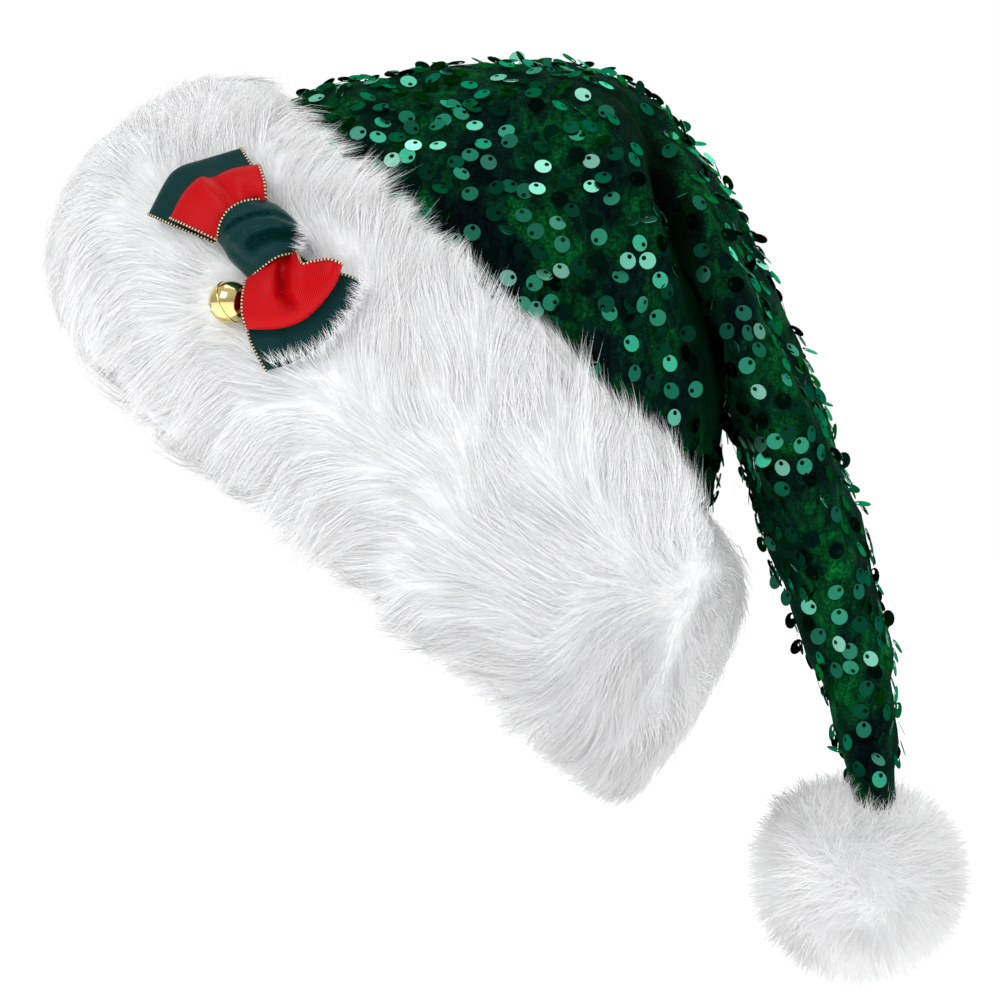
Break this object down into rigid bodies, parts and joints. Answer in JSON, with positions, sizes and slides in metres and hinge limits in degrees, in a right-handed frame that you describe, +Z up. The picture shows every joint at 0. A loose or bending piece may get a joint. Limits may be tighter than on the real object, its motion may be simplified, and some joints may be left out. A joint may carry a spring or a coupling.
{
  "type": "sequin santa hat",
  "caption": "Velvet hat as worn, with a deep fur cuff, a crown that folds back into a hanging tail with a pompom, and a ribbon bow with a jingle bell on the cuff.",
  "frame": {"origin": "middle of the head opening, in the plane of the cuff's lower edge, where the hat sits on a head", "axes": "+Z up as worn; the wearer faces -X; -Y is the wearer's left, where the bow is"},
  "size_m": [0.334, 0.2277, 0.3318],
  "materials": {
    "velvet": "short green velvet pile with green sequins",
    "cuff_cloth": "plain white knitted backing",
    "faux_fur": "long white fur pile",
    "green_ribbon": "satin ribbon, dark green, gold edging",
    "red_ribbon": "twilled satin ribbon, red, gold edging",
    "bell_metal": "polished",
    "pellet_metal": "plain"
  },
  "bodies": {
    "root": {"crown": "velvet", "cuff": "cuff_cloth", "cuff_fur": "faux_fur", "pompom": "faux_fur", "bow_green_ribbon": "green_ribbon", "bow_red_ribbon": "red_ribbon", "bow_knot": "green_ribbon", "bell_shell": "bell_metal", "bell_pellet": "pellet_metal", "bell_ring": "bell_metal"}
  },
  "joints": []
}
